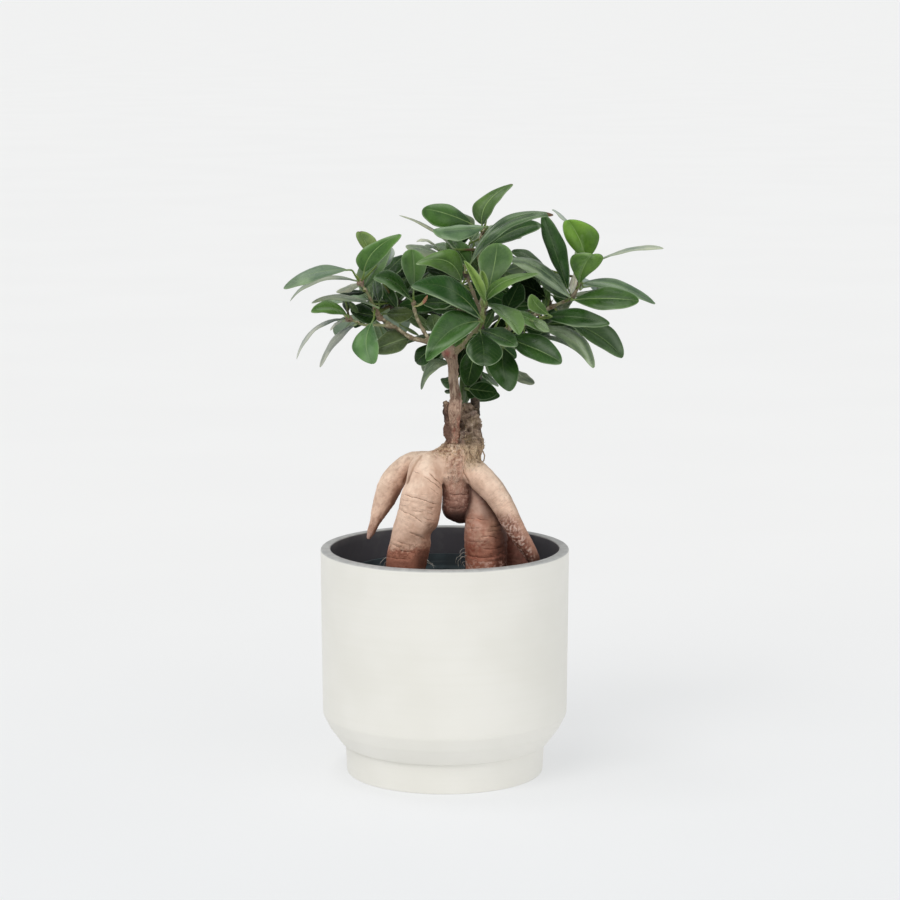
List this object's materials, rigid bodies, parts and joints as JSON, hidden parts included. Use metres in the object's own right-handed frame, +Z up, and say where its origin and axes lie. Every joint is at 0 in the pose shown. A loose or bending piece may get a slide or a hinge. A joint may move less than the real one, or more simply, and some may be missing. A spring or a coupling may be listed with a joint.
{
  "type": "potted chinese banyan",
  "caption": "Small ficus tree with swollen leg-like roots, grafted stems and a flat crown of glossy oval leaves, in a pale straight-sided ceramic cachepot with a narrower foot.",
  "frame": {"origin": "centre of the cachepot's flat underside, on the surface it stands on", "axes": "+Z up along the pot's axis; -Y towards the viewer of the reference view; +X to that viewer's right"},
  "size_m": [0.2233, 0.1678, 0.3552],
  "materials": {
    "pot_ceramic": "satin",
    "inner_pot_plastic": "satin",
    "soil": "matte",
    "root_bark": "satin",
    "front_stem_bark": "matte",
    "rear_stem_bark": "matte",
    "leaf_dark": "satin",
    "leaf_mid": "satin",
    "leaf_bright": "satin",
    "leaf_grey_green": "satin",
    "leaf_young": "satin",
    "leaf_olive": "satin",
    "leaf_yellow_green": "satin"
  },
  "bodies": {
    "root": {"cachepot": "pot_ceramic", "nursery_pot": "inner_pot_plastic", "soil": "soil", "rootstock": "root_bark", "front_stem": "front_stem_bark", "rear_stem": "rear_stem_bark", "left_upper_arched": "leaf_grey_green", "left_upper_edge": "leaf_grey_green", "left_middle_edge": "leaf_grey_green", "left_outer_bright": "leaf_bright", "left_lower_curved": "leaf_grey_green", "left_drooping": "leaf_grey_green", "left_hanging": "leaf_mid", "left_lower_olive": "leaf_olive", "left_shaded": "leaf_dark", "left_top_small": "leaf_yellow_green", "left_top_large": "leaf_bright", "left_top_inner": "leaf_yellow_green", "left_inner_bright": "leaf_bright", "upright_centre_left": "leaf_mid", "crown_left_grey": "leaf_grey_green", "crown_left_arched": "leaf_yellow_green", "top_left_edge": "leaf_grey_green", "top_left_dark": "leaf_dark", "top_left_grey": "leaf_grey_green", "top_point": "leaf_olive", "top_right_long": "leaf_grey_green", "top_right_dark": "leaf_dark", "right_top_large": "leaf_dark", "centre_round": "leaf_mid", "young_right": "leaf_young", "centre_left_large": "leaf_dark", "centre_bright": "leaf_bright", "centre_hanging": "leaf_mid", "centre_low_right": "leaf_mid", "centre_right_light": "leaf_bright", "right_low_dark": "leaf_dark", "right_low_grey": "leaf_grey_green", "right_middle_dark": "leaf_dark", "right_middle_rear": "leaf_mid", "right_striped_grey": "leaf_grey_green", "right_outer_dark": "leaf_dark", "right_outer_light": "leaf_grey_green", "right_outer_edge": "leaf_grey_green", "right_folded_yellow": "leaf_yellow_green", "right_top_bright": "leaf_bright", "low_hanging_dark": "leaf_dark", "low_rear_dark": "leaf_dark", "low_rear_tall": "leaf_dark", "low_curved_olive": "leaf_olive", "rear_left_5": "leaf_dark", "rear_centre_1": "leaf_dark", "rear_right_7": "leaf_mid", "rear_low_1": "leaf_dark", "rear_low_4": "leaf_dark", "rear_far_left_3": "leaf_bright", "rear_far_right_3": "leaf_mid", "rear_far_right_4": "leaf_bright", "side_left_back_5": "leaf_olive", "rear_crown_1": "leaf_dark"}
  },
  "joints": []
}
